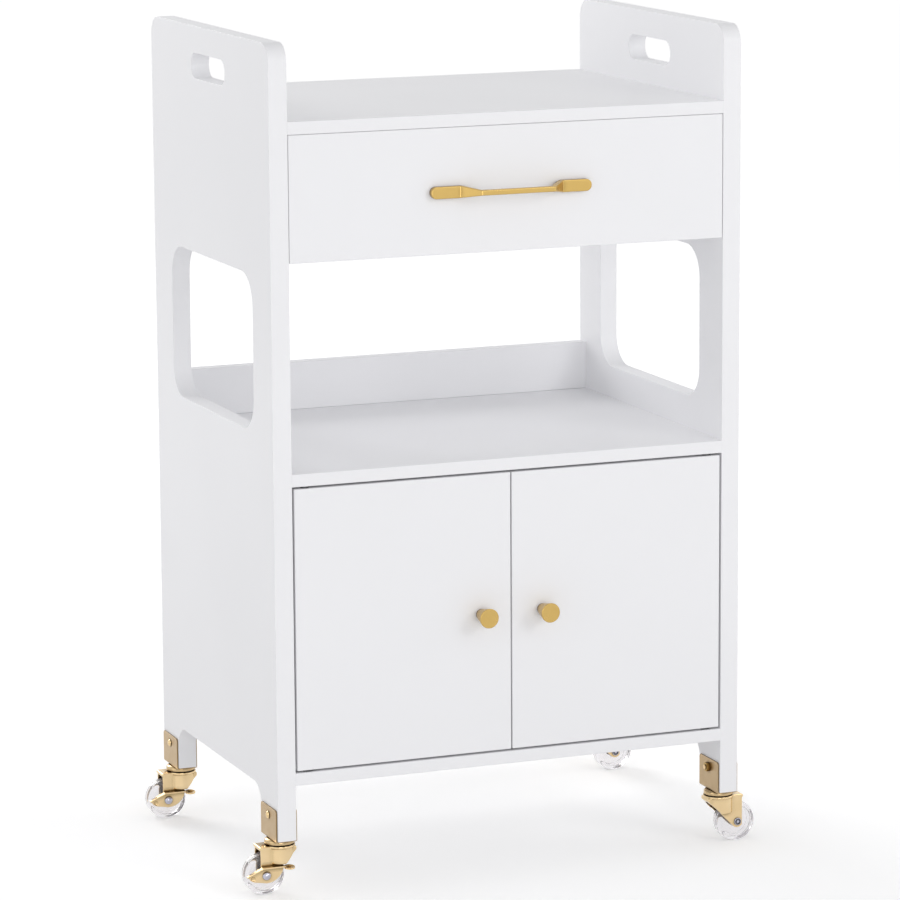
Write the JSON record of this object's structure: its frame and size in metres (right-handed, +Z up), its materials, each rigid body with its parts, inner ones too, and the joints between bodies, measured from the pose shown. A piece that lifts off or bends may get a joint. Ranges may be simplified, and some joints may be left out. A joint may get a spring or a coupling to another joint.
{
  "type": "salon trolley",
  "caption": "White lacquered salon trolley on swivel casters, with a top tray, a drawer, an open bay with side windows, and a two-door cupboard.",
  "frame": {"origin": "on the floor under the middle of the whole trolley, the centre of its bounding box's base", "axes": "+Z up, -Y out of the front with the doors and the drawer, +X to the right seen from the front"},
  "size_m": [0.524, 0.362, 0.795],
  "materials": {
    "white_lacquer": "smooth satin white lacquer on board",
    "satin_gold": "satin gold",
    "gold_steel": "polished gold plating on stamped steel",
    "chrome_rivet": "bright",
    "clear_wheel": "clear moulded",
    "zinc_steel": "zinc plated",
    "nylon": "natural white",
    "beech_dowel": "bare beech"
  },
  "bodies": {
    "cabinet": {"bottom_shelf": "white_lacquer", "bracket_bolts": "gold_steel", "bracket_nuts": "gold_steel", "cam_bolts": "zinc_steel", "cam_locks": "zinc_steel", "caster_bracket_front_left": "gold_steel", "caster_bracket_front_right": "gold_steel", "caster_bracket_rear_left": "gold_steel", "caster_bracket_rear_right": "gold_steel", "door_bushes": "nylon", "dowels": "beech_dowel", "drawer_runner_left": "nylon", "drawer_runner_right": "nylon", "drawer_stop": "nylon", "kingpins": "zinc_steel", "lower_back_panel": "white_lacquer", "magnetic_catch": "nylon", "middle_shelf": "white_lacquer", "runner_screws": "zinc_steel", "shelf_back_rail": "white_lacquer", "side_panel_left": "white_lacquer", "side_panel_right": "white_lacquer", "swivel_balls": "zinc_steel", "swivel_caps": "gold_steel", "top_shelf": "white_lacquer", "upper_back_panel": "white_lacquer"},
    "drawer": {"drawer_front": "white_lacquer", "drawer_side_left": "white_lacquer", "drawer_side_right": "white_lacquer", "drawer_back": "white_lacquer", "drawer_bottom": "white_lacquer", "drawer_handle": "satin_gold", "handle_screws": "zinc_steel", "drawer_screws": "zinc_steel", "drawer_dowels": "beech_dowel"},
    "door_left": {"door_left": "white_lacquer", "door_knob_left": "satin_gold", "knob_screw_left": "zinc_steel", "door_pins_left": "zinc_steel", "strike_plate_left": "zinc_steel"},
    "door_right": {"door_right": "white_lacquer", "door_knob_right": "satin_gold", "knob_screw_right": "zinc_steel", "door_pins_right": "zinc_steel", "strike_plate_right": "zinc_steel"},
    "caster_front_left": {"caster_fork_front_left": "gold_steel", "caster_axle_front_left": "chrome_rivet"},
    "wheel_front_left": {"caster_wheel_front_left": "clear_wheel"},
    "caster_front_right": {"caster_fork_front_right": "gold_steel", "caster_axle_front_right": "chrome_rivet"},
    "wheel_front_right": {"caster_wheel_front_right": "clear_wheel"},
    "caster_rear_left": {"caster_fork_rear_left": "gold_steel", "caster_axle_rear_left": "chrome_rivet"},
    "wheel_rear_left": {"caster_wheel_rear_left": "clear_wheel"},
    "caster_rear_right": {"caster_fork_rear_right": "gold_steel", "caster_axle_rear_right": "chrome_rivet"},
    "wheel_rear_right": {"caster_wheel_rear_right": "clear_wheel"},
    "brake_front_left": {"brake_lever_front_left": "gold_steel"},
    "brake_rear_left": {"brake_lever_rear_left": "gold_steel"}
  },
  "joints": [
    {"name": "drawer_slide", "type": "slide", "parent": "cabinet", "child": "drawer", "axis": [0, -1, 0], "range_m": [0, 0.22]},
    {"name": "door_left_hinge", "type": "hinge", "parent": "cabinet", "child": "door_left", "pos_m": [-0.203, -0.153, 0.253], "axis": [0, 0, -1], "range_deg": [0, 110]},
    {"name": "door_right_hinge", "type": "hinge", "parent": "cabinet", "child": "door_right", "pos_m": [0.203, -0.153, 0.253], "axis": [0, 0, 1], "range_deg": [0, 110]},
    {"name": "swivel_front_left", "type": "hinge", "parent": "cabinet", "child": "caster_front_left", "pos_m": [-0.226, -0.13575, 0.0467], "axis": [0, 0, 1], "continuous": true},
    {"name": "wheel_spin_front_left", "type": "hinge", "parent": "caster_front_left", "child": "wheel_front_left", "pos_m": [-0.2425, -0.13575, 0.0195], "axis": [0, 1, 0], "continuous": true},
    {"name": "brake_press_front_left", "type": "hinge", "parent": "caster_front_left", "child": "brake_front_left", "pos_m": [-0.2425, -0.13575, 0.0195], "axis": [0, 1, 0], "range_deg": [0, 18]},
    {"name": "swivel_front_right", "type": "hinge", "parent": "cabinet", "child": "caster_front_right", "pos_m": [0.226, -0.13575, 0.0467], "axis": [0, 0, 1], "continuous": true},
    {"name": "wheel_spin_front_right", "type": "hinge", "parent": "caster_front_right", "child": "wheel_front_right", "pos_m": [0.2425, -0.13575, 0.0195], "axis": [0, 1, 0], "continuous": true},
    {"name": "swivel_rear_left", "type": "hinge", "parent": "cabinet", "child": "caster_rear_left", "pos_m": [-0.226, 0.15775, 0.0467], "axis": [0, 0, 1], "continuous": true},
    {"name": "wheel_spin_rear_left", "type": "hinge", "parent": "caster_rear_left", "child": "wheel_rear_left", "pos_m": [-0.2425, 0.15775, 0.0195], "axis": [0, 1, 0], "continuous": true},
    {"name": "brake_press_rear_left", "type": "hinge", "parent": "caster_rear_left", "child": "brake_rear_left", "pos_m": [-0.2425, 0.15775, 0.0195], "axis": [0, 1, 0], "range_deg": [0, 18]},
    {"name": "swivel_rear_right", "type": "hinge", "parent": "cabinet", "child": "caster_rear_right", "pos_m": [0.226, 0.15775, 0.0467], "axis": [0, 0, 1], "continuous": true},
    {"name": "wheel_spin_rear_right", "type": "hinge", "parent": "caster_rear_right", "child": "wheel_rear_right", "pos_m": [0.2425, 0.15775, 0.0195], "axis": [0, 1, 0], "continuous": true}
  ]
}
